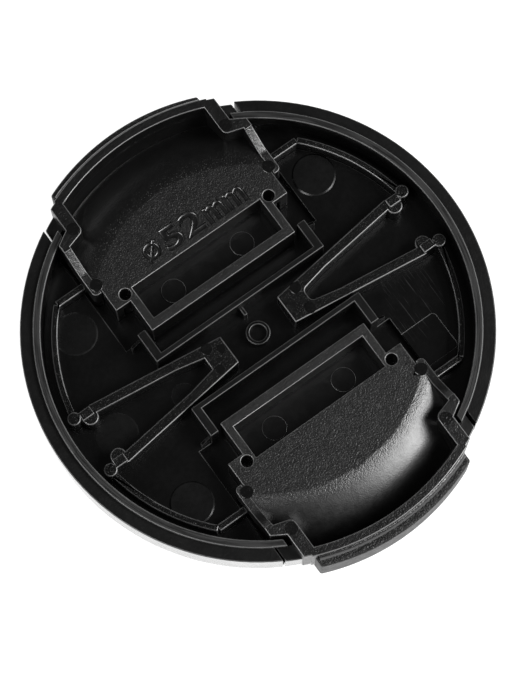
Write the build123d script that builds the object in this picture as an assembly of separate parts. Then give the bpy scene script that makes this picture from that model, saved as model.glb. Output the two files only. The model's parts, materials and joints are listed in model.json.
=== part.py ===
from build123d import *
import os
from math import acos, asin, cos, degrees, hypot, radians, sin, sqrt

# Camera lens cap that pushes into a 52 mm filter thread, lying on its front face.
# Origin at the centre of the front face, +Z towards the lens, the pinch runs along Y.

# Cap body: front plate, rim, flange and the spigot ring that drops inside the filter thread
flange_radius = 27.0
flange_top = 6.2
flange_width = 1.5
front_round = 2.2
plate_thickness = 2.2
recess_floor = 1.0
opening_overlap = 0.8
ring_wall = 0.9
ring_rise = 0.6
ring_tip_thickness = 1.2
ring_tip_gap = 0.55
ring_tip_relief = 0.05

# Rails that guide the push bars, with their end arms and gussets
rail_face_y = 4.0
rail_wall = 0.7
rail_top = 6.0
rail_arm_wall = 1.1
rail_arm_end_y = 7.25
gusset_length = 1.2
gusset_wall = 0.35
gusset_height = 2.2
gusset_setback = 0.2

# Centre boss, its stiffening rib and the ejector discs on the plate
boss_radius = 1.45
boss_cup_radius = 0.95
boss_height = 1.1
boss_cup_depth = 0.8
boss_rib_wall = 0.5
boss_rib_length = 1.0
boss_rib_height = 1.9
ejector_radius = 2.5
ejector_depth = 0.15
ejector_places = [(16.45, 11.8), (-16.95, 12.3), (-17.5, -11.6), (-19.9, -0.15)]
small_ejector_radius = 1.4
small_ejector_place = (-11.0, -0.9)
insert_size = 4.8
insert_corner_round = 0.5
insert_place = (15.55, -12.0)

# Pinch lever: push bar, plateau and scoop
pinch_travel = 1.8
bar_gap = 2.6
bar_step = 3.1
bar_width = 6.7
bar_wall = 1.2
bar_end_wall = 1.05
bar_floor = 0.8
bar_front_round = 0.5
pocket_disc_radius = 1.45
pocket_disc_height = 0.12
pocket_disc_x = 4.85
lever_top = 6.0
lever_skin = 1.2
plate_step = 1.1
plate_corner_start = 4.3
leg_wall = 1.0
scoop_radius = 18.0
scoop_setback = 6.75
crest_angle = 10.0
roll_radius = 12.0
roll_end_angle = 42.0
well_radius = 21.6
trough_top = 2.2
trough_round = 1.2
hole_radius = 0.68
hole_depth = 3.4
hole_wall = 0.3
hole_from_bar_end = 0.05
hole_from_bar_edge = 5.3

# Pinch lever: side walls, shoulders, necks, claw wall, finger lip and bridge flanges
lever_half_width = 13.1
side_length = 6.9
side_wall = 1.0
side_corner_round = 0.6
corner_boss_radius = 0.8
corner_boss_setback = 1.1
claw_top = 7.85
claw_reach = 0.3
claw_wall = 1.05
claw_lean = 0.5
neck_step = 1.65
neck_wall = 1.6
neck_reach = 0.15
neck_corner_round = 0.8
shoulder_slope = 1.0
shoulder_wall = 1.15
ramp_length = 2.5
ramp_step = 0.25
lip_step = 2.8
lip_reach = 1.55
lip_arc_radius = 26.4
lip_top = 6.1
lip_bottom = 0.8
lip_corner_round = 0.35
lip_edge_round = 0.3
bridge_inset = 0.05
bridge_wall = 1.75

# V springs
spring_block_start = 3.95
spring_block_length = 3.0
spring_block_half_width = 1.85
spring_top = 4.8
spring_band_top = 4.2
arm_root_half_gap = 0.75
arm_bend_x = 10.5
arm_bend_half_gap = 1.5
arm_tip_setback = 2.75
arm_tip_thickness = 1.25
arm_end_length = 1.6
notch_round = 0.6
pad_radius = 0.95
tip_block_length = 1.4
tip_block_width = 1.15
tip_block_rise = 0.3
tip_block_overlap = 0.2
band_wall = 0.8
band_gap = 0.95
band_start_y = 3.6
rib_wall = 0.85
rib_from_side_start = 1.9

# Running clearances
side_clearance = 0.25
neck_clearance = 0.15
bar_clearance = 0.6
ring_clearance = 0.3
recess_clearance = 0.2
tip_clearance = 0.2
floor_clearance = 0.15

# Widths worked out from the lever's half width
bar_half_length = lever_half_width - bar_step
plate_half_width = lever_half_width - plate_step
neck_half_width = lever_half_width - neck_step
neck_inner = neck_half_width - neck_wall
neck_middle = neck_half_width - neck_wall / 2
lip_half_width = lever_half_width - lip_step
side_inner = lever_half_width - side_wall
side_middle = lever_half_width - side_wall / 2
recess_half_width = lever_half_width + side_clearance
opening_half_width = neck_half_width + neck_clearance
rail_arm_inner = bar_half_length + bar_clearance
rail_arm_outer = rail_arm_inner + rail_arm_wall

# Radii and levels worked out from the rim
ring_outer = flange_radius - flange_width
ring_inner = ring_outer - ring_wall
ring_top = flange_top + ring_rise
ring_tip_bottom = ring_top - ring_tip_thickness
ring_tip_half_gap = neck_half_width + ring_tip_gap
lever_bottom = recess_floor + recess_clearance
claw_outer = flange_radius + claw_reach
claw_inner = claw_outer - claw_wall
bridge_outer = flange_radius - bridge_inset
bridge_inner = bridge_outer - bridge_wall
bridge_middle = bridge_outer - bridge_wall / 2
bridge_top = ring_tip_bottom - tip_clearance

# Places along the pinch
bar_inner_y = rail_face_y + bar_gap
bar_outer_y = bar_inner_y + bar_width
opening_start_y = bar_outer_y - opening_overlap
plate_start_y = bar_inner_y + plate_corner_start
shoulder_y = sqrt(ring_inner**2 - lever_half_width**2) - ring_clearance
shoulder_end_y = shoulder_y + shoulder_slope
side_start_y = shoulder_y - side_length

# The scoop leaves the crest at an angle, rolls over to its steepest slope and eases into the trough
scoop_center_y = claw_inner - scoop_setback - scoop_radius
crest = radians(crest_angle)
roll_end = radians(roll_end_angle)
roll_drop = roll_radius * (cos(crest) - cos(roll_end))
foot_radius = (lever_top - trough_top - roll_drop) / (1 - cos(roll_end))
roll_center_r = scoop_radius - roll_radius * sin(crest)
roll_center_z = lever_top - roll_radius * cos(crest)
foot_center_r = roll_center_r + (roll_radius + foot_radius) * sin(roll_end)
skirt_middle = well_radius + lever_skin / 2

# V spring levels and places
spring_bottom = plate_thickness + floor_clearance
band_outer = ring_inner - band_gap
band_inner = band_outer - band_wall
band_middle = (band_outer + band_inner) / 2
arm_tip_x = band_middle - arm_tip_setback
arm_end_x = arm_tip_x + arm_end_length
tip_top = spring_top + tip_block_rise
pad_y = pinch_travel + pad_radius
rib_start_y = side_start_y + rib_from_side_start

# Further than any piece reaches, for cutting tools
beyond = 2 * flange_radius


def block(x0, x1, y0, y1, z0, z1):
    return Pos((x0 + x1) / 2, (y0 + y1) / 2, (z0 + z1) / 2) * Box(x1 - x0, y1 - y0, z1 - z0)


def centred_block(half_width, y0, y1, z0, z1):
    return block(-half_width, half_width, y0, y1, z0, z1)


def tube(inner, outer, z0, z1):
    ring = Circle(outer) - Circle(inner)
    return extrude(Pos(0, 0, z0) * ring, amount=z1 - z0)


def column(x, y, radius, z0, z1):
    return Pos(x, y, (z0 + z1) / 2) * Cylinder(radius, z1 - z0)


def prism(outline, z0, z1):
    return extrude(Pos(0, 0, z0) * outline, amount=z1 - z0)


def both_sides(solid):
    return solid + mirror(solid, about=Plane.YZ)


# Half section of a bowl with the rim's rounded front edge, its inside given as points from rim to axis
def bowl_section(radius, inside):
    outline = Polyline((0, 0), (radius - front_round, 0))
    outline += CenterArc((radius - front_round, front_round), front_round, -90, 90)
    outline += Polyline((radius, front_round), *inside, (0, 0))
    return make_face(outline)


def turned(section):
    return revolve(Plane.XZ * section, axis=Axis.Z)


# A solid drum with the same front edge, which trims what reaches the outside of the cap
def front_drum(radius, height):
    return turned(bowl_section(radius, [(radius, height), (0, height)]))


def rim_and_plate():
    inside = [
        (flange_radius, flange_top),
        (ring_outer, flange_top),
        (ring_outer, ring_top),
        (ring_inner, ring_top),
        (ring_inner, plate_thickness),
        (0, plate_thickness),
    ]
    return turned(bowl_section(flange_radius, inside))


# What one lever needs cut out of the body: the slot for its push bar, the recess it slides in and the
# finger opening in the front, under ring tips that stay in place over the bridge flanges
def lever_opening():
    tip = tube(ring_inner - ring_wall, ring_outer - ring_tip_relief, ring_tip_bottom, beyond)
    tip &= block(ring_tip_half_gap, beyond, 0, beyond, ring_tip_bottom, beyond)
    recess = centred_block(recess_half_width, rail_arm_end_y, beyond, recess_floor, beyond)
    recess -= both_sides(tip)
    bar_slot = centred_block(rail_arm_inner, rail_face_y, opening_start_y, recess_floor, beyond)
    front = centred_block(opening_half_width, opening_start_y, beyond, -plate_thickness, plate_thickness)
    return recess + bar_slot + front


# A block that the lever opening turns into a rail with two end arms
def rail_blank():
    return centred_block(
        rail_arm_outer, rail_face_y - rail_wall, rail_arm_end_y + rail_wall, plate_thickness / 2, rail_top
    )


def gussets():
    arm_middle = rail_arm_outer - rail_arm_wall / 2
    fin_end = rail_arm_outer + gusset_length
    outline = Plane.XZ * make_face(
        Polyline(
            (arm_middle, plate_thickness / 2),
            (fin_end, plate_thickness / 2),
            (fin_end, plate_thickness + gusset_height / 2),
            (rail_arm_outer, plate_thickness + gusset_height),
            (arm_middle, plate_thickness + gusset_height),
            close=True,
        )
    )
    fin = Pos(0, rail_arm_end_y - gusset_setback, 0) * extrude(outline, amount=gusset_wall)
    return both_sides(fin)


def centre_boss():
    top = plate_thickness + boss_height
    boss = column(0, 0, boss_radius, plate_thickness / 2, top)
    cup = column(0, 0, boss_cup_radius, top - boss_cup_depth, top + boss_height)
    rail_back_y = rail_face_y - rail_wall
    rib = centred_block(
        boss_rib_wall / 2,
        rail_back_y - boss_rib_length,
        rail_back_y + rail_wall / 2,
        plate_thickness / 2,
        plate_thickness + boss_rib_height,
    )
    return boss - cup + rib


def cap_body():
    body = rim_and_plate()
    for turn in (0, 180):
        body += Rot(0, 0, turn) * rail_blank()
    for turn in (0, 180):
        body -= Rot(0, 0, turn) * lever_opening()
        body += Rot(0, 0, turn) * gussets()
    body += centre_boss()
    sunk = plate_thickness - ejector_depth
    for x, y in ejector_places:
        body -= column(x, y, ejector_radius, sunk, rail_top)
    body -= column(*small_ejector_place, small_ejector_radius, sunk, rail_top)
    insert = RectangleRounded(insert_size, insert_size, insert_corner_round)
    return body - prism(Pos(*insert_place) * insert, sunk, rail_top)


# The scoop is a shell turned about an upright axis: a flat plateau that rolls over at its crest and
# eases into the trough, with a well for a fingertip on the front side
def scoop_shell():
    roll_center = (roll_center_r, roll_center_z)
    inner_radius = roll_radius - lever_skin
    underside = lever_top - lever_skin
    inner_crest = acos((underside - roll_center_z) / inner_radius)
    inner_end = asin((well_radius - roll_center_r) / inner_radius)
    outline = Polyline((0, underside), (0, lever_top), (scoop_radius, lever_top))
    outline += CenterArc(roll_center, roll_radius, 90 - roll_end_angle, roll_end_angle - crest_angle)
    outline += CenterArc(
        (foot_center_r, trough_top + foot_radius), foot_radius, 270 - roll_end_angle, roll_end_angle
    )
    outline += Polyline(
        (foot_center_r, trough_top),
        (foot_center_r, 0),
        (well_radius, 0),
        (well_radius, roll_center_z + inner_radius * cos(inner_end)),
    )
    outline += CenterArc(
        roll_center, inner_radius, 90 - degrees(inner_end), degrees(inner_end - inner_crest)
    )
    outline += Line((roll_center_r + inner_radius * sin(inner_crest), underside), (0, underside))
    shell = turned(make_face(outline))
    above_recess = centred_block(side_middle, plate_start_y, shoulder_y, lever_bottom, claw_top)
    above_recess -= both_sides(
        block(plate_half_width, beyond, 0, side_start_y + side_wall / 2, 0, claw_top)
    )
    in_opening = centred_block(neck_middle, plate_start_y, beyond, 0, claw_top)
    in_opening &= front_drum(claw_outer, claw_top)
    return Pos(0, scoop_center_y, 0) * shell & (above_recess + in_opening)


def push_bar():
    bar = centred_block(bar_half_length, bar_inner_y, bar_outer_y, lever_bottom, lever_top)
    return fillet(bar.edges().group_by(Axis.Z)[0], bar_front_round)


def bar_pocket():
    floor_top = lever_bottom + bar_floor
    pocket = centred_block(
        bar_half_length - bar_end_wall,
        bar_inner_y + bar_wall,
        bar_outer_y - bar_wall,
        floor_top,
        claw_top,
    )
    middle_y = (bar_inner_y + bar_outer_y) / 2
    for x in (-pocket_disc_x, pocket_disc_x):
        pocket -= column(x, middle_y, pocket_disc_radius, lever_bottom, floor_top + pocket_disc_height)
    return pocket


# Side wall with the ramp that climbs from plateau level to the shoulder
def side_walls():
    ramp_end_y = shoulder_y - shoulder_wall
    outline = Plane.YZ * make_face(
        Polyline(
            (side_start_y, lever_bottom),
            (shoulder_y, lever_bottom),
            (shoulder_y, claw_top),
            (ramp_end_y, claw_top),
            (ramp_end_y, claw_top - ramp_step),
            (ramp_end_y - ramp_length, lever_top),
            (side_start_y, lever_top),
            close=True,
        )
    )
    wall = Pos(side_inner, 0, 0) * extrude(outline, amount=side_wall)
    corner = wall.edges().filter_by(Axis.Z).group_by(Axis.Y)[0].sort_by(Axis.X)[-1]
    wall = fillet(corner, side_corner_round)
    leg = block(
        plate_half_width - leg_wall, plate_half_width, plate_start_y, side_start_y + side_wall,
        lever_bottom, lever_top,
    )
    corner_boss = column(
        side_inner, side_start_y + corner_boss_setback, corner_boss_radius, lever_bottom, lever_top
    )
    return both_sides(wall + leg + corner_boss)


# Shoulder and neck carry the claw wall past the ring tips
def shoulders_and_necks():
    outline = make_face(
        Polyline(
            (lever_half_width, shoulder_y - shoulder_wall),
            (lever_half_width, shoulder_y),
            (neck_half_width, shoulder_end_y),
            (neck_inner, shoulder_end_y),
            (neck_inner, shoulder_end_y - shoulder_wall),
            close=True,
        )
    )
    inner_corner = outline.vertices().group_by(Axis.X)[0].sort_by(Axis.Y)[0]
    shoulder = prism(fillet(inner_corner, neck_corner_round), lever_bottom, claw_top)
    neck_start_y = shoulder_end_y - shoulder_slope / 2
    neck = block(neck_inner, neck_half_width, neck_start_y, beyond, -1, claw_top)
    neck &= front_drum(flange_radius + neck_reach, claw_top)
    return both_sides(shoulder + neck)


# Trough floor and claw wall are one turned section with a rounded inner corner, the wall thinner
# towards its top
def trough_and_claw():
    foot = (claw_inner - claw_lean, trough_top)
    section = bowl_section(
        claw_outer, [(claw_outer, claw_top), (claw_inner, claw_top), foot, (0, trough_top)]
    )
    inner_corner = section.vertices().sort_by_distance(foot)[0]
    bowl = turned(fillet(inner_corner, trough_round))
    bowl &= centred_block(neck_middle, 0, beyond, -1, beyond)
    side_floor = column(0, 0, bridge_middle, lever_bottom, trough_top)
    side_floor &= centred_block(side_middle, 0, beyond, lever_bottom, trough_top)
    inside_skirt = column(0, scoop_center_y, skirt_middle, -1, beyond)
    return bowl + side_floor - inside_skirt


# The lip's outer face is a tighter arc than the rim, so it reaches furthest at its middle
def finger_lip():
    lip = column(0, flange_radius + lip_reach - lip_arc_radius, lip_arc_radius, lip_bottom, lip_top)
    lip &= centred_block(lip_half_width, 0, beyond, lip_bottom, lip_top)
    lip -= column(0, 0, claw_inner, lip_bottom, lip_top)
    corners = lip.edges().filter_by(Axis.Z)
    outer_corners = [edge for edge in corners if hypot(edge.center().X, edge.center().Y) > claw_outer]
    lip = fillet(outer_corners, lip_corner_round)
    rims = lip.edges().group_by(Axis.Z)[-1] + lip.edges().group_by(Axis.Z)[0]
    outer_rims = [edge for edge in rims if hypot(edge.center().X, edge.center().Y) > claw_outer]
    return fillet(outer_rims, lip_edge_round)


# Bridge flanges fill the notch in the rim under the ring tips
def bridges():
    bridge = front_drum(bridge_outer, bridge_top)
    bridge &= block(neck_middle, lever_half_width, 0, beyond, lever_bottom, beyond)
    bridge -= column(0, 0, bridge_inner, -1, beyond)
    return both_sides(bridge)


# The blind core hole at each end of the bar, or the post around it
def core_holes(radius, z0, z1):
    hole = column(bar_half_length + hole_from_bar_end, bar_inner_y + hole_from_bar_edge, radius, z0, z1)
    return both_sides(hole)


def pinch_lever():
    lever = scoop_shell() + push_bar() + side_walls()
    lever += trough_and_claw()
    lever += shoulders_and_necks()
    lever += finger_lip()
    lever += bridges()
    lever += core_holes(hole_radius + hole_wall, lever_bottom, lever_top)
    lever -= core_holes(hole_radius, lever_top - hole_depth, claw_top)
    return lever - bar_pocket()


# One V spring: the block is fixed to the plate, the arms bend and the bands pull on the levers
def v_spring(round_notch):
    block_end = spring_block_start + spring_block_length
    upper_side = [
        (spring_block_start, spring_block_half_width),
        (arm_tip_x, pad_y + arm_tip_thickness),
        (band_middle, band_start_y),
        (arm_end_x, pad_y),
        (arm_tip_x, pad_y),
        (arm_bend_x, arm_bend_half_gap),
        (block_end, arm_root_half_gap),
    ]
    lower_side = [(x, -y) for x, y in reversed(upper_side)]
    outline = make_face(Polyline(*upper_side, *lower_side, close=True))
    if round_notch:
        notch = [v for v in outline.vertices() if abs(v.X - block_end) < notch_round / 2]
        outline = fillet(notch, notch_round)
    spring = prism(outline, spring_bottom, spring_top)
    spring += block(
        spring_block_start, block_end, -spring_block_half_width, spring_block_half_width,
        plate_thickness, spring_top,
    )
    rib_y = rib_start_y + rib_wall / 2
    corner_x = sqrt(band_middle**2 - rib_y**2)
    start_x = sqrt(band_middle**2 - band_start_y**2)
    half = column((arm_tip_x + arm_end_x) / 2, pad_y, pad_radius, spring_bottom, spring_top)
    half += column(start_x, band_start_y, band_wall, spring_bottom, tip_top)
    half += block(
        arm_end_x - tip_block_length, arm_end_x + tip_block_overlap, pad_y, pad_y + tip_block_width,
        spring_bottom, tip_top,
    )
    wedge = make_face(
        Polyline((0, 0), (2 * start_x, 2 * band_start_y), (2 * corner_x, 2 * rib_y), close=True)
    )
    band = tube(band_inner, band_outer, spring_bottom, spring_band_top)
    half += band & prism(wedge, spring_bottom, spring_band_top)
    half += block(
        lever_half_width, corner_x, rib_start_y, rib_start_y + rib_wall, spring_bottom, spring_band_top
    )
    return spring + half + mirror(half, about=Plane.XZ)


# The notch of the right spring is round and that of the left one square, as on the real moulding
nodes = {
    "cap_body": cap_body(),
    "upper_pinch_lever": pinch_lever(),
    "lower_pinch_lever": Rot(0, 0, 180) * pinch_lever(),
    "right_v_spring": v_spring(round_notch=True),
    "left_v_spring": Rot(0, 0, 180) * v_spring(round_notch=False),
}

os.makedirs("parts", exist_ok=True)
for name, shape in nodes.items():
    export_step(shape, f"parts/{name}.step")
    print(name, round(shape.volume, 1))
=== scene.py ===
import bpy
import bmesh
import json
import math
import numpy as np
from mathutils import Matrix, Vector


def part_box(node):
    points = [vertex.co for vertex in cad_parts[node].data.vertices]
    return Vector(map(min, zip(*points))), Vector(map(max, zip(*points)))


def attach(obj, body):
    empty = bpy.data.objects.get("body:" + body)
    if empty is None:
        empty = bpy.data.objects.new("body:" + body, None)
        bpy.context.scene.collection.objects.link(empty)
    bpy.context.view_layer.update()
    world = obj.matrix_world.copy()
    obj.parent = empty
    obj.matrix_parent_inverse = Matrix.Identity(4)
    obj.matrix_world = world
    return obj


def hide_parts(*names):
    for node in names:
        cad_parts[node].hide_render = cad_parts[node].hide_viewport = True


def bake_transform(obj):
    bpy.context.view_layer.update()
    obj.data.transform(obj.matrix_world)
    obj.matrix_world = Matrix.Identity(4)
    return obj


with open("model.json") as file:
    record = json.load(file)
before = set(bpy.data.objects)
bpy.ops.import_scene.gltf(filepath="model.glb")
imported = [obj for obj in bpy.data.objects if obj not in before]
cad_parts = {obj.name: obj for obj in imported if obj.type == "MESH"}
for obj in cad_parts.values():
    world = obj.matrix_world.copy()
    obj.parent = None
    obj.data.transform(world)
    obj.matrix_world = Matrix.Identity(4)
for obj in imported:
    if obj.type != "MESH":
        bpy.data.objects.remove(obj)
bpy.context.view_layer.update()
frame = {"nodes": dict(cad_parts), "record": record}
mm = 0.001
seatMount = next(mount for mount in frame["record"]["mounts"] if mount["name"] == "lens_rim_seat")
flangeTop = seatMount["pos_m"][2] / mm
print("frame loaded", sorted(frame["nodes"]))

# Levels above the front face and radii, in millimetres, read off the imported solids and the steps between
levelSteps = {"tipBlock": 0.3, "lever": 0.2, "plate": 4.0, "claw": 0.3}
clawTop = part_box("upper_pinch_lever")[1].z / mm
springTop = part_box("right_v_spring")[1].z / mm - levelSteps["tipBlock"]
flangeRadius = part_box("cap_body")[1].x / mm
leverTop = flangeTop - levelSteps["lever"]
plateTop = flangeTop - levelSteps["plate"]
clawRadius = flangeRadius + levelSteps["claw"]


# Small helpers for node trees


def addNode(tree, kind, **settings):
    node = tree.nodes.new(kind)
    for key, value in settings.items():
        setattr(node, key, value)
    return node


def setInputs(node, **values):
    for key, value in values.items():
        node.inputs[key.replace("_", " ")].default_value = value
    return node


def mathNode(tree, operation, first, second=None):
    node = addNode(tree, "ShaderNodeMath", operation=operation)
    for index, value in enumerate((first, second)):
        if value is None:
            continue
        if isinstance(value, (int, float)):
            node.inputs[index].default_value = value
        else:
            tree.links.new(value, node.inputs[index])
    return node.outputs["Value"]


def mapRange(tree, value, fromMin, fromMax, toMin, toMax):
    node = addNode(tree, "ShaderNodeMapRange", interpolation_type="SMOOTHSTEP")
    tree.links.new(value, node.inputs["Value"])
    setInputs(node, From_Min=fromMin, From_Max=fromMax, To_Min=toMin, To_Max=toMax)
    return node.outputs["Result"]


def flatDistance(tree, across, along):
    squares = [mathNode(tree, "POWER", run, 2.0) for run in (across, along)]
    return mathNode(tree, "SQRT", mathNode(tree, "ADD", *squares))


def noiseAt(tree, place, size, detail, rough=0.55):
    node = addNode(tree, "ShaderNodeTexNoise")
    setInputs(node, Scale=1 / (size * mm), Detail=detail, Roughness=rough)
    tree.links.new(place, node.inputs["Vector"])
    return node.outputs["Fac"]


def mixValue(tree, share, first, second):
    node = addNode(tree, "ShaderNodeMix", data_type="FLOAT")
    for socket, value in (("Factor", share), ("A", first), ("B", second)):
        if isinstance(value, (int, float)):
            node.inputs[socket].default_value = value
        else:
            tree.links.new(value, node.inputs[socket])
    return node.outputs["Result"]


# Moulded black plastic: tone and roughness vary in patches, and a fine grain stands on the surface.
# Sizes, and levels above the front face, are in millimetres
leverFinish = {
    "tone": 0.0020, "toneSpread": 0.0018, "speck": 0.07, "shine": 0.85, "smooth": 0.22, "rough": 0.352,
    "roughnessSpread": 0.025, "grainSize": 0.165, "grainDepth": 0.041, "patchSize": 1.2, "grainSlope": 0.22,
    "grainFrom": 3.8, "grainFull": 5.0, "roughFrom": 5.35, "roughFull": 5.97, "crownRough": 0.30,
    "crownMark": (10.65, 21.2, 0.78), "markRough": 0.20, "rollRough": 0.33, "rollFrom": 2.4,
    "rollFull": 3.2,
}
lipFinish = {
    "tone": 0.0060, "toneSpread": 0.0090, "speck": 0.10, "shine": 0.30, "smooth": 0.45, "rough": 0.46,
    "roughnessSpread": 0.05, "grainSize": 0.22, "grainDepth": 0.120, "patchSize": 1.0, "grainSlope": 0.3,
    "grainFrom": 5.6, "grainFull": 6.0, "roughFrom": 5.75, "roughFull": 6.05,
}
markFinish = {
    "tone": 0.0020, "toneSpread": 0.0010, "speck": 0.02, "shine": 1.0, "smooth": 0.29, "rough": 0.29,
    "roughnessSpread": 0.04, "grainSize": 0.30, "grainDepth": 0.010, "patchSize": 0.8, "grainSlope": 0.1,
    "grainFrom": 0.0, "grainFull": 0.5, "roughFrom": 0.0, "roughFull": 6.0,
}
springFinish = {
    "tone": 0.0026, "toneSpread": 0.0016, "speck": 0.06, "shine": 0.6, "smooth": 0.26, "rough": 0.245,
    "roughnessSpread": 0.02, "grainSize": 0.17, "grainDepth": 0.042, "patchSize": 0.8, "grainSlope": 0.9,
    "grainFrom": 2.0, "grainFull": 4.15, "roughFrom": 3.9, "roughFull": 4.15,
}
bodyFinish = {
    "tone": 0.0017, "toneSpread": 0.0010, "speck": 0.012, "shine": 0.6, "smooth": 0.22, "rough": 0.31,
    "roughnessSpread": 0.02, "grainSize": 0.22, "grainDepth": 0.012, "patchSize": 2.4, "grainSlope": 0.5,
    "grainFrom": 2.6, "grainFull": 5.6, "roughFrom": 2.6, "roughFull": 5.6,
}
discFinish = dict(bodyFinish, tone=0.0014, toneSpread=0.0006, smooth=0.285, rough=0.24)
# Above the plateau: where the necks of the claws begin, how soft the edge of their marks is and where
# the pale grains end
aboveLever = {"crownFrom": 0.2, "crownFull": 0.6, "markSoft": 0.06, "specksTo": 0.15, "specksEnd": 0.3}
speckSize = {"cell": 0.13, "from": 0.70, "full": 0.78, "warm": 0.97}
toneRange = {"from": 0.3, "full": 0.7, "cool": 1.01, "warm": 0.99, "darkest": 0.001}
# A coarse wave under the grain, its share of the height, and the grain's share of the tone
grainMix = {"coarse": 2.6, "coarseShare": 0.5, "toneShare": 0.55, "unevenFrom": 0.35, "unevenFull": 0.65}


def plasticBase(name):
    material = bpy.data.materials.new(name)
    material.use_nodes = True
    tree = material.node_tree
    shader = tree.nodes["Principled BSDF"]
    place = addNode(tree, "ShaderNodeTexCoord").outputs["Object"]
    return material, tree, shader, place


def toneInto(tree, shader, share, finish):
    ramp = addNode(tree, "ShaderNodeValToRGB")
    low = max(toneRange["darkest"], finish["tone"] - finish["toneSpread"] / 2)
    high = finish["tone"] + finish["toneSpread"] / 2
    ramp.color_ramp.elements[0].position = toneRange["from"]
    ramp.color_ramp.elements[0].color = (low, low, low * toneRange["cool"], 1)
    ramp.color_ramp.elements[1].position = toneRange["full"]
    ramp.color_ramp.elements[1].color = (high, high, high * toneRange["warm"], 1)
    tree.links.new(share, ramp.inputs["Fac"])
    tree.links.new(ramp.outputs["Color"], shader.inputs["Base Color"])


def roughInto(tree, shader, share, finish):
    middle = finish["roughness"]
    spread = finish["roughnessSpread"]
    rough = mapRange(tree, share, finish["from"], finish["full"], middle - spread, middle + spread)
    tree.links.new(rough, shader.inputs["Roughness"])


def bumpInto(tree, shader, height, depth):
    bump = addNode(tree, "ShaderNodeBump")
    setInputs(bump, Strength=1.0, Distance=depth * mm)
    tree.links.new(height, bump.inputs["Height"])
    tree.links.new(bump.outputs["Normal"], shader.inputs["Normal"])


# Single grains rubbed pale. A Mix node has its colours in inputs 6 and 7 and in output 2
def speckInto(tree, shader, place, reach, tone):
    cells = noiseAt(tree, place, speckSize["cell"], 0.0)
    pale = mapRange(tree, cells, speckSize["from"], speckSize["full"], 0.0, 1.0)
    specks = mathNode(tree, "MULTIPLY", pale, reach)
    mix = addNode(tree, "ShaderNodeMix", data_type="RGBA")
    old = shader.inputs["Base Color"].links[0].from_socket
    tree.links.new(specks, mix.inputs[0])
    tree.links.new(old, mix.inputs[6])
    mix.inputs[7].default_value = (tone, tone, tone * speckSize["warm"], 1)
    tree.links.new(mix.outputs[2], shader.inputs["Base Color"])


# Round ejector marks flush with the necks of the claws, the same in all four quarters
def crownMark(tree, levels, mark):
    gaps = []
    for axis, middle in (("X", mark[0]), ("Y", mark[1])):
        side = mathNode(tree, "ABSOLUTE", levels.outputs[axis])
        gaps.append(mathNode(tree, "SUBTRACT", side, middle * mm))
    away = flatDistance(tree, *gaps)
    return mapRange(tree, away, (mark[2] - aboveLever["markSoft"]) * mm, mark[2] * mm, 1.0, 0.0)


def grainedPlastic(name, finish):
    material, tree, shader, place = plasticBase(name)
    levels = addNode(tree, "ShaderNodeSeparateXYZ")
    tree.links.new(place, levels.inputs["Vector"])

    def climb(low, high, toMin=0.0, toMax=1.0):
        return mapRange(tree, levels.outputs["Z"], low * mm, high * mm, toMin, toMax)

    grain = noiseAt(tree, place, finish["grainSize"], 1.0, 0.5)
    coarse = noiseAt(tree, place, finish["grainSize"] * grainMix["coarse"], 2.0)
    patch = noiseAt(tree, place, finish["patchSize"], 3.0)
    reach = climb(finish["grainFrom"], finish["grainFull"])
    worn = climb(finish["roughFrom"], finish["roughFull"])
    toneInto(tree, shader, mixValue(tree, grainMix["toneShare"], patch, grain), finish)
    spread = finish["roughnessSpread"]
    clouds = mixValue(tree, 0.5, patch, coarse)
    uneven = mapRange(tree, clouds, grainMix["unevenFrom"], grainMix["unevenFull"], -spread, spread)
    low = finish["smooth"]
    if "rollRough" in finish:
        roll = climb(finish["rollFrom"], finish["rollFull"])
        low = mixValue(tree, roll, low, finish["rollRough"])
    rough = mixValue(tree, worn, low, finish["rough"])
    if "crownRough" in finish:
        crown = climb(leverTop + aboveLever["crownFrom"], leverTop + aboveLever["crownFull"])
        rough = mixValue(tree, crown, rough, finish["crownRough"])
        marked = crownMark(tree, levels, finish["crownMark"])
        rough = mixValue(tree, mathNode(tree, "MULTIPLY", crown, marked), rough, finish["markRough"])
    rough = mathNode(tree, "ADD", rough, uneven)
    tree.links.new(rough, shader.inputs["Roughness"])
    wave = mathNode(tree, "MULTIPLY", coarse, grainMix["coarseShare"])
    height = mathNode(tree, "ADD", grain, wave)
    stands = mathNode(tree, "MAXIMUM", mathNode(tree, "MULTIPLY", reach, finish["grainSlope"]), worn)
    bumpInto(tree, shader, mathNode(tree, "MULTIPLY", height, stands), finish["grainDepth"])
    below = climb(leverTop + aboveLever["specksTo"], leverTop + aboveLever["specksEnd"], 1.0, 0.0)
    speckInto(tree, shader, place, mathNode(tree, "MULTIPLY", worn, below), finish["speck"])
    setInputs(shader, Specular_IOR_Level=finish["shine"])
    return material


# A patch of fine scratches on the floor of one bay
scratchField = {
    "middle": (16.5, -7.2), "core": 1.925, "reach": 5.5, "turn": 52.8, "width": 0.10, "length": 2.6,
    "from": 0.55, "full": 0.72, "roughness": 0.46,
}


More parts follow.
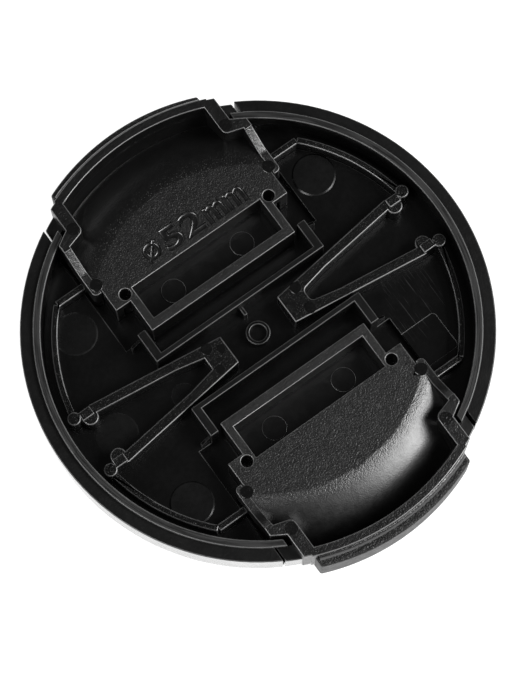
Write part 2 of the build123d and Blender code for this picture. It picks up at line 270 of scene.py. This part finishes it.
def scratchedBody(name, finish, field):
    material = grainedPlastic(name, finish)
    tree = material.node_tree
    shader = tree.nodes["Principled BSDF"]
    place = next(node for node in tree.nodes if node.bl_idname == "ShaderNodeTexCoord").outputs["Object"]
    turned = addNode(tree, "ShaderNodeMapping")
    turned.inputs["Rotation"].default_value = (0, 0, -math.radians(field["turn"]))
    turned.inputs["Scale"].default_value = (1, field["width"] / field["length"], 1)
    tree.links.new(place, turned.inputs["Vector"])
    streaks = noiseAt(tree, turned.outputs["Vector"], field["width"] * 2, 2.0)
    centred = addNode(tree, "ShaderNodeVectorMath", operation="DISTANCE")
    tree.links.new(place, centred.inputs[0])
    centred.inputs[1].default_value = (field["middle"][0] * mm, field["middle"][1] * mm, plateTop * mm)
    near = mapRange(tree, centred.outputs["Value"], field["core"] * mm, field["reach"] * mm, 1.0, 0.0)
    scored = mapRange(tree, streaks, field["from"], field["full"], 0.0, 1.0)
    lines = mathNode(tree, "MULTIPLY", scored, near)
    oldRough = shader.inputs["Roughness"].links[0].from_socket
    tree.links.new(mixValue(tree, lines, oldRough, field["roughness"]), shader.inputs["Roughness"])
    return material


# The top of the ring is scuffed along its round
ringFinish = {
    "tone": 0.007, "toneSpread": 0.018, "smoothest": 0.36, "roughest": 0.68, "from": 0.35, "full": 0.7,
    "scuffWidth": 0.09, "scuffLength": 2.4, "scuffDepth": 0.03,
}


def scuffedRing(name, finish):
    material, tree, shader, place = plasticBase(name)
    axes = addNode(tree, "ShaderNodeSeparateXYZ")
    tree.links.new(place, axes.inputs["Vector"])
    angle = mathNode(tree, "ARCTAN2", axes.outputs["Y"], axes.outputs["X"])
    radius = flatDistance(tree, axes.outputs["X"], axes.outputs["Y"])
    stretch = finish["scuffWidth"] / finish["scuffLength"]
    along = mathNode(tree, "MULTIPLY", angle, flangeRadius * mm * stretch)
    wrapped = addNode(tree, "ShaderNodeCombineXYZ")
    tree.links.new(along, wrapped.inputs["X"])
    tree.links.new(radius, wrapped.inputs["Y"])
    tree.links.new(axes.outputs["Z"], wrapped.inputs["Z"])
    scuff = noiseAt(tree, wrapped.outputs["Vector"], finish["scuffWidth"] * 2, 4.0, 0.65)
    toneInto(tree, shader, scuff, finish)
    low = finish["smoothest"]
    high = finish["roughest"]
    rough = mapRange(tree, scuff, finish["from"], finish["full"], low, high)
    tree.links.new(rough, shader.inputs["Roughness"])
    bumpInto(tree, shader, scuff, finish["scuffDepth"])
    return material


# The outer rim is polished
rimFinish = {
    "tone": 0.005, "toneSpread": 0.002, "roughness": 0.24, "roughnessSpread": 0.07, "from": 0.35,
    "full": 0.65, "patchSize": 2.2, "fineSize": 0.3, "coat": 1.0, "coatRoughness": 0.12,
}


def polishedRim(name, finish):
    material, tree, shader, place = plasticBase(name)
    patch = noiseAt(tree, place, finish["patchSize"], 3.0)
    fine = noiseAt(tree, place, finish["fineSize"], 2.0)
    toneInto(tree, shader, patch, finish)
    roughInto(tree, shader, mixValue(tree, 0.5, patch, fine), finish)
    setInputs(shader, Coat_Weight=finish["coat"], Coat_Roughness=finish["coatRoughness"])
    return material


# Edges with painted highlights: the small rounds are painted paler, a painted highlight along every edge
# that is partly also rubbed wear, and are paler still in places
edgeWearAndHighlightFinish = {
    "tone": 0.010, "toneSpread": 0.018, "roughness": 0.46, "roughnessSpread": 0.1, "from": 0.3,
    "full": 0.7, "wearAndGlintSize": 0.35, "patchSize": 3.0, "shine": 1.0, "bend": 1.85,
}
bodyEdgeWearAndHighlightFinish = dict(edgeWearAndHighlightFinish, tone=0.013, toneSpread=0.022, roughness=0.48, bend=1.5)
# The ring's rounds are painted much paler still: a painted highlight along the ring's edges
ringEdgeWearAndHighlightFinish = dict(edgeWearAndHighlightFinish, tone=0.055, toneSpread=0.060, roughness=0.50, bend=1.5)


def wornEdgeWithPaintedHighlight(name, finish):
    material, tree, shader, place = plasticBase(name)
    rubAndGlint = noiseAt(tree, place, finish["wearAndGlintSize"], 3.0, 0.6)
    wearAndGlint = mixValue(tree, 0.5, rubAndGlint, noiseAt(tree, place, finish["patchSize"], 2.0))
    # The paler tone on the rounds is painted highlight, partly rubbed wear
    toneInto(tree, shader, wearAndGlint, finish)
    roughInto(tree, shader, wearAndGlint, finish)
    setInputs(shader, Specular_IOR_Level=finish["shine"], IOR=finish["bend"])
    return material


leverPlastic = grainedPlastic("grainedLeverPlastic", leverFinish)
lipPlastic = grainedPlastic("grainedLipPlastic", lipFinish)
markPlastic = grainedPlastic("sizeMarkPlastic", markFinish)
# The three edge materials carry the painted highlight on the rounded edges
edgeWearAndHighlightPlastic = wornEdgeWithPaintedHighlight("wornAndHighlightedEdgePlastic", edgeWearAndHighlightFinish)
bodyEdgeWearAndHighlightPlastic = wornEdgeWithPaintedHighlight("wornAndHighlightedBodyEdgePlastic", bodyEdgeWearAndHighlightFinish)
ringEdgeWearAndHighlightPlastic = wornEdgeWithPaintedHighlight("wornAndHighlightedRingEdgePlastic", ringEdgeWearAndHighlightFinish)
springPlastic = grainedPlastic("springPlastic", springFinish)
bodyPlastic = scratchedBody("satinBodyPlastic", bodyFinish, scratchField)
discPlastic = grainedPlastic("ejectorMarkPlastic", discFinish)
ringPlastic = scuffedRing("scuffedRingPlastic", ringFinish)
rimPlastic = polishedRim("polishedRimPlastic", rimFinish)
print("finishes made")

# Moulded pieces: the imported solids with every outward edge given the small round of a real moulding.
# Rounds are in millimetres, and flat, crisp and crease are angles in degrees
edgeRound = {
    "body": 0.13, "lever": 0.11, "spring": 0.15, "rings": 3, "flat": 0.4, "crisp": 28.0, "crease": 50.0,
    "share": 0.45, "spots": (0.1, 0.5, 0.9), "ahead": 0.6,
}
# In metres: points this close are one, and a cut takes along points this near. facesUp is a share of Z
sameSpot = 1e-6
cutReach = 1e-7
facesUp = 0.999


def wholeMesh(bm):
    return list(bm.verts) + list(bm.edges) + list(bm.faces)


def partsOf(faces):
    parts = set(faces)
    for face in faces:
        parts.update(face.edges, face.verts)
    return list(parts)


def cutAcross(bm, parts, spot, normal, halve=False):
    return bmesh.ops.bisect_plane(
        bm, geom=parts, plane_co=spot, plane_no=normal, clear_inner=halve, dist=cutReach
    )


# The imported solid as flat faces, with an edge kept along its middle
def mergedSolid(nodeName):
    bm = bmesh.new()
    bm.from_mesh(frame["nodes"][nodeName].data)
    bmesh.ops.remove_doubles(bm, verts=bm.verts, dist=sameSpot)
    sliced = cutAcross(bm, wholeMesh(bm), (0, 0, 0), (1, 0, 0))
    for item in sliced["geom_cut"]:
        if isinstance(item, bmesh.types.BMEdge):
            item.seam = True
    bmesh.ops.dissolve_limit(
        bm, angle_limit=math.radians(edgeRound["flat"]), verts=bm.verts, edges=bm.edges, delimit={"SEAM"}
    )
    bm.normal_update()
    return bm


# How far each crisp edge has to the next one across a face, so that their rounds never meet
def roomAcross(bm, crisp):
    room = {edge: 1.0 for edge in crisp}
    for face in bm.faces:
        loops = [loop for loop in face.loops if loop.edge in room]
        if len(loops) < 2:
            continue
        starts = np.array([loop.vert.co for loop in loops])
        runs = np.array([loop.link_loop_next.vert.co for loop in loops]) - starts
        lengths = np.linalg.norm(runs, axis=1)
        inward = np.cross(np.array(face.normal), runs / lengths[:, None])
        for index, loop in enumerate(loops):
            for along in edgeRound["spots"]:
                spot = starts[index] + runs[index] * along
                share = np.clip(((spot - starts) * runs).sum(axis=1) / lengths**2, 0, 1)
                across = starts + runs * share[:, None] - spot
                gaps = np.linalg.norm(across, axis=1)
                facing = across @ inward[index] > edgeRound["ahead"] * gaps
                ahead = gaps[facing & (gaps > cutReach)]
                if len(ahead):
                    room[loop.edge] = min(room[loop.edge], ahead.min())
    return room


# Above zero on the round of an outward corner, below it in a hollow one
def bulge(face):
    return sum(edge.calc_face_angle_signed(0.0) * edge.calc_length() for edge in face.edges)


# Faces of the outward rounds come back with material 1, all others with 0
def mouldedMesh(nodeName, roundSize):
    bm = mergedSolid(nodeName)
    weight = bm.edges.layers.float.new("bevel_weight_edge")
    limit = math.radians(edgeRound["crisp"])
    crisp = [edge for edge in bm.edges if len(edge.link_faces) == 2 and edge.calc_face_angle(0.0) > limit]
    for edge, gap in roomAcross(bm, crisp).items():
        if edge.calc_face_angle_signed(0.0) > 0:
            edge[weight] = min(1.0, edgeRound["share"] * gap / (roundSize * mm))
    piece = pieceFrom(bm, nodeName + "Rounded", [None, None])
    modifier = piece.modifiers.new("rounds", "BEVEL")
    modifier.limit_method = "WEIGHT"
    modifier.width = roundSize * mm
    modifier.segments = edgeRound["rings"]
    modifier.use_clamp_overlap = False
    modifier.material = 1
    settled(piece, modifier)
    bm = bmesh.new()
    bm.from_mesh(piece.data)
    bpy.data.objects.remove(piece)
    for vert in bm.verts:
        vert.co.z = max(vert.co.z, 0.0)
    bm.normal_update()
    for face in bm.faces:
        if face.material_index == 1 and bulge(face) <= 0:
            face.material_index = 0
    return bm


def linkedPiece(name, mesh):
    piece = bpy.data.objects.new(name, mesh)
    bpy.context.scene.collection.objects.link(piece)
    return piece


def finishedMesh(piece):
    graph = bpy.context.evaluated_depsgraph_get()
    return bpy.data.meshes.new_from_object(piece.evaluated_get(graph), depsgraph=graph)


def settled(piece, modifier):
    mesh = finishedMesh(piece)
    piece.modifiers.remove(modifier)
    piece.data = mesh


def pieceFrom(bm, name, materials):
    mesh = bpy.data.meshes.new(name)
    bm.to_mesh(mesh)
    bm.free()
    for material in materials:
        mesh.materials.append(material)
    return linkedPiece(name, mesh)


# Flat faces keep straight normals beside their rounded edges: at each corner the faces that lie within
# the crease angle of its own are averaged by their area
def smoothed(piece):
    bm = bmesh.new()
    bm.from_mesh(piece.data)
    bm.normal_update()
    crease = math.cos(math.radians(edgeRound["crease"]))
    normals = []
    for face in bm.faces:
        face.smooth = True
        for loop in face.loops:
            total = Vector((0, 0, 0))
            for other in loop.vert.link_faces:
                if other.normal.dot(face.normal) > crease:
                    total += other.normal * other.calc_area()
            normals.append(total.normalized())
    bm.to_mesh(piece.data)
    bm.free()
    piece.data.normals_split_custom_set(normals)


# The finishes of a moulding start with its flats and its edges, as mouldedMesh leaves them
def paintFace(face, finishes, name):
    face.material_index = list(finishes).index(name)


# Which faces of the body are its bright outer rim and its scuffed ring, in millimetres
bodyBands = {"rimDepth": 2.2, "ringDepth": 3.0, "steep": 0.75, "margin": 0.1}
bodyFinishes = {
    "flat": bodyPlastic, "edge": bodyEdgeWearAndHighlightPlastic, "rim": rimPlastic, "ring": ringPlastic,
    "ringEdge": ringEdgeWearAndHighlightPlastic,
}


def makeBody():
    bm = mouldedMesh("cap_body", edgeRound["body"])
    for face in bm.faces:
        middle = face.calc_center_median()
        reach = math.hypot(middle.x, middle.y) / mm
        nearest = min(math.hypot(vert.co.x, vert.co.y) for vert in face.verts) / mm
        above = middle.z / mm - flangeTop
        upright = abs(face.normal.z) < bodyBands["steep"]
        if reach > flangeRadius - bodyBands["rimDepth"] and upright and above < -bodyBands["margin"]:
            paintFace(face, bodyFinishes, "rim")
        elif above > bodyBands["margin"] and nearest > flangeRadius - bodyBands["ringDepth"]:
            paintFace(face, bodyFinishes, "ringEdge" if face.material_index == 1 else "ring")
    piece = pieceFrom(bm, "capBody", bodyFinishes.values())
    smoothed(piece)
    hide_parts("cap_body")
    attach(piece, "body")


# Which faces of a lever are its piece of the bright rim and its finger lip, in millimetres
leverBands = {"rimInside": 0.6, "rimTop": 5.5, "steep": 0.75, "lipOutside": 0.1}
leverFinishes = {
    "flat": leverPlastic, "edge": edgeWearAndHighlightPlastic, "rim": rimPlastic, "lip": lipPlastic, "mark": markPlastic,
}


def makeLever(side):
    node = side + "_pinch_lever"
    bm = mouldedMesh(node, edgeRound["lever"])
    for face in bm.faces:
        middle = face.calc_center_median()
        reach = math.hypot(middle.x, middle.y) / mm
        inRim = flangeRadius > reach > flangeRadius - leverBands["rimInside"]
        upright = abs(face.normal.z) < leverBands["steep"]
        if inRim and upright and middle.z < leverBands["rimTop"] * mm:
            paintFace(face, leverFinishes, "rim")
        elif reach > clawRadius + leverBands["lipOutside"]:
            paintFace(face, leverFinishes, "lip")
    if side == "upper":
        engrave(bm)
    piece = pieceFrom(bm, side + "PinchLever", leverFinishes.values())
    smoothed(piece)
    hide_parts(node)
    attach(piece, side + "_lever")


# Size mark sunk into the plateau of the upper lever: each run of signs and its box in millimetres.
# thin, round and tall are shares of the type size, and sky is how much of the signs stays above the
# plateau while they cut
sizeMark = {
    "field": (-6.2, 8.5, 12.62, 16.3), "runs": [
        ("ø", -5.75, -3.55, 13.0, 15.6), ("52", -3.1, 2.35, 12.9, 15.95), ("mm", 2.65, 8.1, 12.87, 15.1),
    ],
    "depth": 0.30, "thin": 0.020, "round": 0.060, "tall": 0.5, "sky": 0.4, "slab": 1.0,
    "rings": 4, "arcSteps": 5,
}


def signMesh(words, left, right, foot, head):
    curve = bpy.data.curves.new("sizeMark", "FONT")
    curve.body = words
    curve.extrude = sizeMark["tall"]
    curve.offset = -sizeMark["thin"]
    curve.bevel_depth = sizeMark["round"]
    curve.bevel_resolution = sizeMark["rings"]
    curve.resolution_u = sizeMark["arcSteps"]
    holder = linkedPiece("sizeMarkSeed", curve)
    mesh = finishedMesh(holder)
    bpy.data.objects.remove(holder)
    xs = [vertex.co.x for vertex in mesh.vertices]
    ys = [vertex.co.y for vertex in mesh.vertices]
    firstX = min(xs)
    firstY = min(ys)
    wide = (right - left) / (max(xs) - firstX)
    tall = (head - foot) / (max(ys) - firstY)
    for vertex in mesh.vertices:
        level = vertex.co.z + sizeMark["tall"]
        level *= sizeMark["depth"] / sizeMark["round"] if level < 0 else sizeMark["sky"]
        across = left + (vertex.co.x - firstX) * wide
        along = foot + (vertex.co.y - firstY) * tall
        vertex.co = Vector((across, along, leverTop + level)) * mm
    mesh.materials.append(markPlastic)
    return mesh


def markedSlab(left, right, foot, head):
    bm = bmesh.new()
    bmesh.ops.create_cube(bm, size=1.0)
    for vert in bm.verts:
        across = right if vert.co.x > 0 else left
        along = head if vert.co.y > 0 else foot
        level = leverTop if vert.co.z > 0 else leverTop - sizeMark["slab"]
        vert.co = Vector((across, along, level)) * mm
    slab = pieceFrom(bm, "sizeMarkSlab", [leverPlastic])
    for run in sizeMark["runs"]:
        cutter = linkedPiece("signCutter", signMesh(*run))
        modifier = slab.modifiers.new("engrave", "BOOLEAN")
        modifier.object = cutter
        modifier.solver = "EXACT"
        modifier.use_self = True
        modifier.material_mode = "TRANSFER"
        settled(slab, modifier)
        bpy.data.objects.remove(cutter)
    return slab


def onPlateau(face):
    return face.normal.z > facesUp and abs(face.calc_center_median().z - leverTop * mm) < sameSpot


# A rectangle of the plateau makes room for the slab's cut top
def engrave(bm):
    left, right, foot, head = sizeMark["field"]
    for axis, place in ((0, left), (0, right), (1, foot), (1, head)):
        normal = Vector((1 - axis, axis, 0))
        flat = partsOf([face for face in bm.faces if onPlateau(face)])
        cutAcross(bm, flat, normal * place * mm, normal)
    inside = []
    for face in bm.faces:
        middle = face.calc_center_median() / mm
        if onPlateau(face) and left < middle.x < right and foot < middle.y < head:
            inside.append(face)
    bmesh.ops.delete(bm, geom=inside, context="FACES")
    slab = markedSlab(left, right, foot, head)
    kept = set(bm.faces)
    bm.from_mesh(slab.data)
    added = [face for face in bm.faces if face not in kept]
    for face in added:
        paintFace(face, leverFinishes, "mark" if face.material_index == 1 else "flat")
    cutAcross(bm, partsOf(added), (0, 0, 0), (1, 0, 0))
    under = (leverTop - 0.9 * sizeMark["slab"]) * mm
    low = []
    for face in bm.faces:
        if face not in kept and min(vert.co.z for vert in face.verts) < under:
            low.append(face)
    bmesh.ops.delete(bm, geom=low, context="FACES")
    bmesh.ops.remove_doubles(bm, verts=bm.verts, dist=cutReach)
    bm.normal_update()
    bpy.data.objects.remove(slab)


# Each V spring is split into two halves at its middle, with cuts across its arms at the listed places, and
# each half is a piece of its own
springBend = {"start": (7.0, 2.2), "run": (10.4, 7.8), "cuts": (9.0, 11.5, 14.0, 16.5, 19.0)}


def makeSpringHalf(side, end):
    node = side + "_v_spring"
    outward = 1 if side == "right" else -1
    upward = 1 if end == "upper" else -1
    bm = mouldedMesh(node, edgeRound["spring"])
    for cut in springBend["cuts"]:
        cutAcross(bm, wholeMesh(bm), (outward * cut * mm, 0, 0), (1, 0, 0))
    halved = cutAcross(bm, wholeMesh(bm), (0, 0, 0), (0, upward, 0), halve=True)
    rim = [edge for edge in halved["geom_cut"] if isinstance(edge, bmesh.types.BMEdge)]
    bmesh.ops.edgenet_fill(bm, edges=rim)
    bmesh.ops.recalc_face_normals(bm, faces=bm.faces)
    piece = pieceFrom(bm, side + "Spring" + end.capitalize() + "Arm", [springPlastic, edgeWearAndHighlightPlastic])
    smoothed(piece)
    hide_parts(node)
    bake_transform(piece)


makeBody()
for side in ("upper", "lower"):
    makeLever(side)
for side in ("right", "left"):
    for end in ("upper", "lower"):
        makeSpringHalf(side, end)
print("mouldings made")

# Thread wedge on the outer face of each claw, one Geometry Nodes tree for both levers: how far its top
# edge, its nose and its foot lie under the claw's top and outside the claw's face
threadWedge = {
    "top": (0.02, -0.12), "nose": (1.12, 0.46), "chin": (1.22, 0.46), "foot": (1.65, -0.05),
    "halfSpan": 9.9, "steps": 72,
}
wedgeHalfAngle = math.asin(threadWedge["halfSpan"] / clawRadius)


def addInput(tree, name, kind, value):
    socket = tree.interface.new_socket(name=name, in_out="INPUT", socket_type=kind)
    socket.default_value = value
    return socket


def startTree(name):
    tree = bpy.data.node_groups.new(name, "GeometryNodeTree")
    tree.interface.new_socket(name="Geometry", in_out="INPUT", socket_type="NodeSocketGeometry")
    tree.interface.new_socket(name="Geometry", in_out="OUTPUT", socket_type="NodeSocketGeometry")
    return tree, addNode(tree, "NodeGroupInput"), addNode(tree, "NodeGroupOutput")


def endTree(tree, geometry, material, outNode):
    realized = addNode(tree, "GeometryNodeRealizeInstances")
    painted = addNode(tree, "GeometryNodeSetMaterial")
    painted.inputs["Material"].default_value = material
    tree.links.new(geometry, realized.inputs["Geometry"])
    tree.links.new(realized.outputs["Geometry"], painted.inputs["Geometry"])
    tree.links.new(painted.outputs["Geometry"], outNode.inputs["Geometry"])


def grownPiece(name, tree, values, seedMesh=None):
    holder = linkedPiece(name + "Seed", seedMesh or bpy.data.meshes.new(name + "Seed"))
    modifier = holder.modifiers.new("grow", "NODES")
    modifier.node_group = tree
    for item in tree.interface.items_tree:
        if item.item_type == "SOCKET" and item.in_out == "INPUT" and item.name in values:
            modifier[item.identifier] = values[item.name]
    mesh = finishedMesh(holder)
    holder.modifiers.remove(modifier)
    bpy.data.objects.remove(holder)
    mesh.name = name
    return linkedPiece(name, mesh)


def outwards(piece):
    bm = bmesh.new()
    bm.from_mesh(piece.data)
    bmesh.ops.recalc_face_normals(bm, faces=bm.faces)
    bm.to_mesh(piece.data)
    bm.free()


def threadTree(material):
    tree, inNode, outNode = startTree("threadWedge")
    corners = ("Top Edge", "Nose", "Chin", "Foot")
    addInput(tree, "Radius", "NodeSocketFloat", clawRadius * mm)
    addInput(tree, "Half Angle", "NodeSocketFloat", wedgeHalfAngle)
    addInput(tree, "Middle Angle", "NodeSocketFloat", math.pi / 2)
    addInput(tree, "Level", "NodeSocketFloat", clawTop * mm)
    for name in corners:
        addInput(tree, name, "NodeSocketVector", (0, 0, 0))
    arc = addNode(tree, "GeometryNodeCurveArc", mode="RADIUS")
    arc.inputs["Resolution"].default_value = threadWedge["steps"]
    sweep = mathNode(tree, "MULTIPLY", inNode.outputs["Half Angle"], 2.0)
    first = mathNode(tree, "SUBTRACT", inNode.outputs["Middle Angle"], inNode.outputs["Half Angle"])
    tree.links.new(inNode.outputs["Radius"], arc.inputs["Radius"])
    tree.links.new(first, arc.inputs["Start Angle"])
    tree.links.new(sweep, arc.inputs["Sweep Angle"])
    profile = addNode(tree, "GeometryNodeCurvePrimitiveQuadrilateral", mode="POINTS")
    for index, name in enumerate(corners):
        tree.links.new(inNode.outputs[name], profile.inputs["Point " + str(index + 1)])
    wedge = addNode(tree, "GeometryNodeCurveToMesh")
    wedge.inputs["Fill Caps"].default_value = True
    tree.links.new(arc.outputs["Curve"], wedge.inputs["Curve"])
    tree.links.new(profile.outputs["Curve"], wedge.inputs["Profile Curve"])
    lift = addNode(tree, "ShaderNodeCombineXYZ")
    tree.links.new(inNode.outputs["Level"], lift.inputs["Z"])
    raised = addNode(tree, "GeometryNodeTransform")
    tree.links.new(wedge.outputs["Mesh"], raised.inputs["Geometry"])
    tree.links.new(lift.outputs["Vector"], raised.inputs["Translation"])
    endTree(tree, raised.outputs["Geometry"], material, outNode)
    return tree


def makeThreads():
    tree = threadTree(leverPlastic)
    corners = {"Top Edge": "top", "Nose": "nose", "Chin": "chin", "Foot": "foot"}
    for side, middle in (("upper", math.pi / 2), ("lower", -math.pi / 2)):
        values = {
            "Radius": clawRadius * mm, "Level": clawTop * mm, "Half Angle": wedgeHalfAngle,
            "Middle Angle": middle,
        }
        for name, key in corners.items():
            below, outside = threadWedge[key]
            values[name] = (outside * mm, below * mm, 0.0)
        piece = grownPiece(side + "ThreadWedge", tree, values)
        outwards(piece)
        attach(piece, side + "_lever")


makeThreads()
print("thread wedges made")

# Round ejector marks that stand a hair above the faces they are on: place, radius, level and height
ejectorMarks = {"sunk": 0.2, "taper": 0.93, "root": 0.999, "sides": 64}
leverMarks = [(12.1, 14.72, 0.78, leverTop, 0.035), (-12.1, 14.72, 0.78, leverTop, 0.035)]
blockMarks = [
    (6.30, -1.40, 0.70, springTop, 0.045), (6.34, 1.45, 0.70, springTop, 0.030),
    (-6.10, 1.50, 0.70, springTop, 0.035), (-4.75, 0.60, 0.52, springTop, 0.035),
    (-6.20, -1.35, 0.60, springTop, 0.035),
]
plateMarks = [
    (16.45, 11.80, 2.58, plateTop, 0.110), (-16.95, 12.30, 2.58, plateTop, 0.030),
    (-17.50, -11.60, 2.58, plateTop, 0.100), (-19.90, -0.15, 2.58, plateTop, 0.020),
    (-11.00, -0.90, 1.46, plateTop, 0.015),
]


def sizedCopies(tree, points, mesh, radius, height):
    scale = addNode(tree, "ShaderNodeCombineXYZ")
    for axis, size in (("X", radius), ("Y", radius), ("Z", height)):
        tree.links.new(size, scale.inputs[axis])
    placed = addNode(tree, "GeometryNodeInstanceOnPoints")
    tree.links.new(points, placed.inputs["Points"])
    tree.links.new(mesh, placed.inputs["Instance"])
    tree.links.new(scale.outputs["Vector"], placed.inputs["Scale"])
    return placed.outputs["Instances"]


# Each mark is a tapered head above its face and a root sunk below it
def markTree(material):
    tree, inNode, outNode = startTree("ejectorMarks")
    addInput(tree, "Sunk", "NodeSocketFloat", ejectorMarks["sunk"] * mm)
    addInput(tree, "Taper", "NodeSocketFloat", ejectorMarks["taper"])
    addInput(tree, "Sides", "NodeSocketInt", ejectorMarks["sides"])
    points = inNode.outputs["Geometry"]
    sizes = {}
    for name in ("markRadius", "markHeight"):
        node = addNode(tree, "GeometryNodeInputNamedAttribute", data_type="FLOAT")
        node.inputs["Name"].default_value = name
        sizes[name] = node.outputs["Attribute"]
    head = addNode(tree, "GeometryNodeMeshCone")
    head.inputs["Radius Bottom"].default_value = 1.0
    head.inputs["Depth"].default_value = 1.0
    tree.links.new(inNode.outputs["Taper"], head.inputs["Radius Top"])
    tree.links.new(inNode.outputs["Sides"], head.inputs["Vertices"])
    heads = sizedCopies(tree, points, head.outputs["Mesh"], sizes["markRadius"], sizes["markHeight"])
    root = addNode(tree, "GeometryNodeMeshCylinder")
    root.inputs["Radius"].default_value = ejectorMarks["root"]
    root.inputs["Depth"].default_value = 2.0
    tree.links.new(inNode.outputs["Sides"], root.inputs["Vertices"])
    halfDepth = mathNode(tree, "MULTIPLY", inNode.outputs["Sunk"], 0.5)
    lower = addNode(tree, "ShaderNodeCombineXYZ")
    tree.links.new(mathNode(tree, "MULTIPLY", halfDepth, -1.0), lower.inputs["Z"])
    shifted = addNode(tree, "GeometryNodeSetPosition")
    tree.links.new(points, shifted.inputs["Geometry"])
    tree.links.new(lower.outputs["Vector"], shifted.inputs["Offset"])
    below = shifted.outputs["Geometry"]
    roots = sizedCopies(tree, below, root.outputs["Mesh"], sizes["markRadius"], halfDepth)
    joined = addNode(tree, "GeometryNodeJoinGeometry")
    tree.links.new(heads, joined.inputs["Geometry"])
    tree.links.new(roots, joined.inputs["Geometry"])
    endTree(tree, joined.outputs["Geometry"], material, outNode)
    return tree


def markSeed(name, marks, turned):
    sign = -1 if turned else 1
    mesh = bpy.data.meshes.new(name)
    mesh.from_pydata([(sign * mark[0] * mm, sign * mark[1] * mm, mark[3] * mm) for mark in marks], [], [])
    radii = mesh.attributes.new("markRadius", "FLOAT", "POINT")
    radii.data.foreach_set("value", [mark[2] * mm for mark in marks])
    heights = mesh.attributes.new("markHeight", "FLOAT", "POINT")
    heights.data.foreach_set("value", [mark[4] * mm for mark in marks])
    return mesh


def makeMarks():
    tree = markTree(discPlastic)
    values = {
        "Sunk": ejectorMarks["sunk"] * mm, "Taper": ejectorMarks["taper"], "Sides": ejectorMarks["sides"],
    }
    for side, turned in (("upper", False), ("lower", True)):
        name = side + "LeverMarks"
        piece = grownPiece(name, tree, values, markSeed(name + "Seed", leverMarks, turned))
        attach(piece, side + "_lever")
    onBody = (
        ("springBlockMarks", blockMarks, "spring_plastic"),
        ("plateMarks", plateMarks, "body_plastic"),
    )
    for name, marks, slot in onBody:
        piece = grownPiece(name, tree, values, markSeed(name + "Seed", marks, False))
        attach(piece, "body")


makeMarks()
print("ejector marks made")

# White floor and low wall, pure white to the camera, with the shadow kept
stageSize = {"radius": 1.0, "wall": 0.3, "sides": 96, "glow": 0.88, "tone": 0.36}


def makeStage():
    bm = bmesh.new()
    bmesh.ops.create_circle(bm, cap_ends=True, segments=stageSize["sides"], radius=stageSize["radius"])
    raised = bmesh.ops.extrude_edge_only(bm, edges=list(bm.edges))
    for item in raised["geom"]:
        if isinstance(item, bmesh.types.BMVert):
            item.co.z += stageSize["wall"]
    material = bpy.data.materials.new("whiteStage")
    material.use_nodes = True
    tree = material.node_tree
    tree.nodes.remove(tree.nodes["Principled BSDF"])
    paint = addNode(tree, "ShaderNodeBsdfDiffuse")
    tone = stageSize["tone"]
    paint.inputs["Color"].default_value = (tone, tone, tone, 1)
    glow = addNode(tree, "ShaderNodeEmission")
    rays = addNode(tree, "ShaderNodeLightPath")
    seen = mathNode(tree, "MAXIMUM", rays.outputs["Is Camera Ray"], rays.outputs["Is Glossy Ray"])
    seen = mathNode(tree, "MAXIMUM", seen, rays.outputs["Is Transmission Ray"])
    tree.links.new(mathNode(tree, "MULTIPLY", seen, stageSize["glow"]), glow.inputs["Strength"])
    both = addNode(tree, "ShaderNodeAddShader")
    tree.links.new(paint.outputs["BSDF"], both.inputs[0])
    tree.links.new(glow.outputs["Emission"], both.inputs[1])
    tree.links.new(both.outputs["Shader"], tree.nodes["Material Output"].inputs["Surface"])
    stage = pieceFrom(bm, "whiteStage", [material])


makeStage()

# Studio light: broad softboxes low at the picture's lower right and left, dark above
studio = {
    "world": 0.05,
    "softboxes": {
        "rightSoftbox": {"towards": (0.48, -0.44, 0.75), "away": 1.40, "size": (0.80, 0.60), "power": 23.0},
        "leftSoftbox": {"towards": (-0.70, -0.10, 0.70), "away": 0.55, "size": (0.30, 0.22), "power": 1.7},
    },
}


def makeLight():
    world = bpy.data.worlds.new("studio")
    bpy.context.scene.world = world
    world.use_nodes = True
    background = world.node_tree.nodes["Background"]
    background.inputs["Color"].default_value = (1, 1, 1, 1)
    background.inputs["Strength"].default_value = studio["world"]
    for name, box in studio["softboxes"].items():
        data = bpy.data.lights.new(name, "AREA")
        data.shape = "RECTANGLE"
        data.size, data.size_y = box["size"]
        data.energy = box["power"]
        lamp = bpy.data.objects.new(name, data)
        towards = Vector(box["towards"]).normalized()
        lamp.location = towards * box["away"]
        lamp.rotation_euler = (-towards).to_track_quat("-Z", "Y").to_euler()
        lamp.visible_camera = False
        bpy.context.scene.collection.objects.link(lamp)


makeLight()
print("stage and light made")

# Camera at the photograph's angle: the aim is a point on the flange, in millimetres
cameraView = {
    "aim": (-1.206, -1.680, flangeTop), "distance": 298.57, "azimuth": 34.874, "elevation": 76.27,
    "roll": -0.822, "lens": 138.13, "sensor": 36.0, "clip": (0.01, 10.0),
}


def makeCamera(view):
    azimuth = math.radians(view["azimuth"])
    elevation = math.radians(view["elevation"])
    roll = math.radians(view["roll"])
    ahead = Vector((
        math.sin(azimuth) * math.cos(elevation),
        math.cos(azimuth) * math.cos(elevation),
        -math.sin(elevation),
    ))
    level = ahead.cross(Vector((0, 0, 1))).normalized()
    upright = level.cross(ahead)
    right = level * math.cos(roll) + upright * math.sin(roll)
    up = upright * math.cos(roll) - level * math.sin(roll)
    place = (Vector(view["aim"]) - ahead * view["distance"]) * mm
    data = bpy.data.cameras.new("photoCamera")
    data.sensor_fit = "VERTICAL"
    data.sensor_height = view["sensor"]
    data.lens = view["lens"]
    data.clip_start, data.clip_end = view["clip"]
    cam = bpy.data.objects.new("photoCamera", data)
    cam.matrix_world = Matrix((
        (right.x, up.x, -ahead.x, place.x),
        (right.y, up.y, -ahead.y, place.y),
        (right.z, up.z, -ahead.z, place.z),
        (0, 0, 0, 1),
    ))
    bpy.context.scene.collection.objects.link(cam)
    bpy.context.scene.camera = cam


makeCamera(cameraView)
bpy.context.scene.view_settings.view_transform = "Standard"
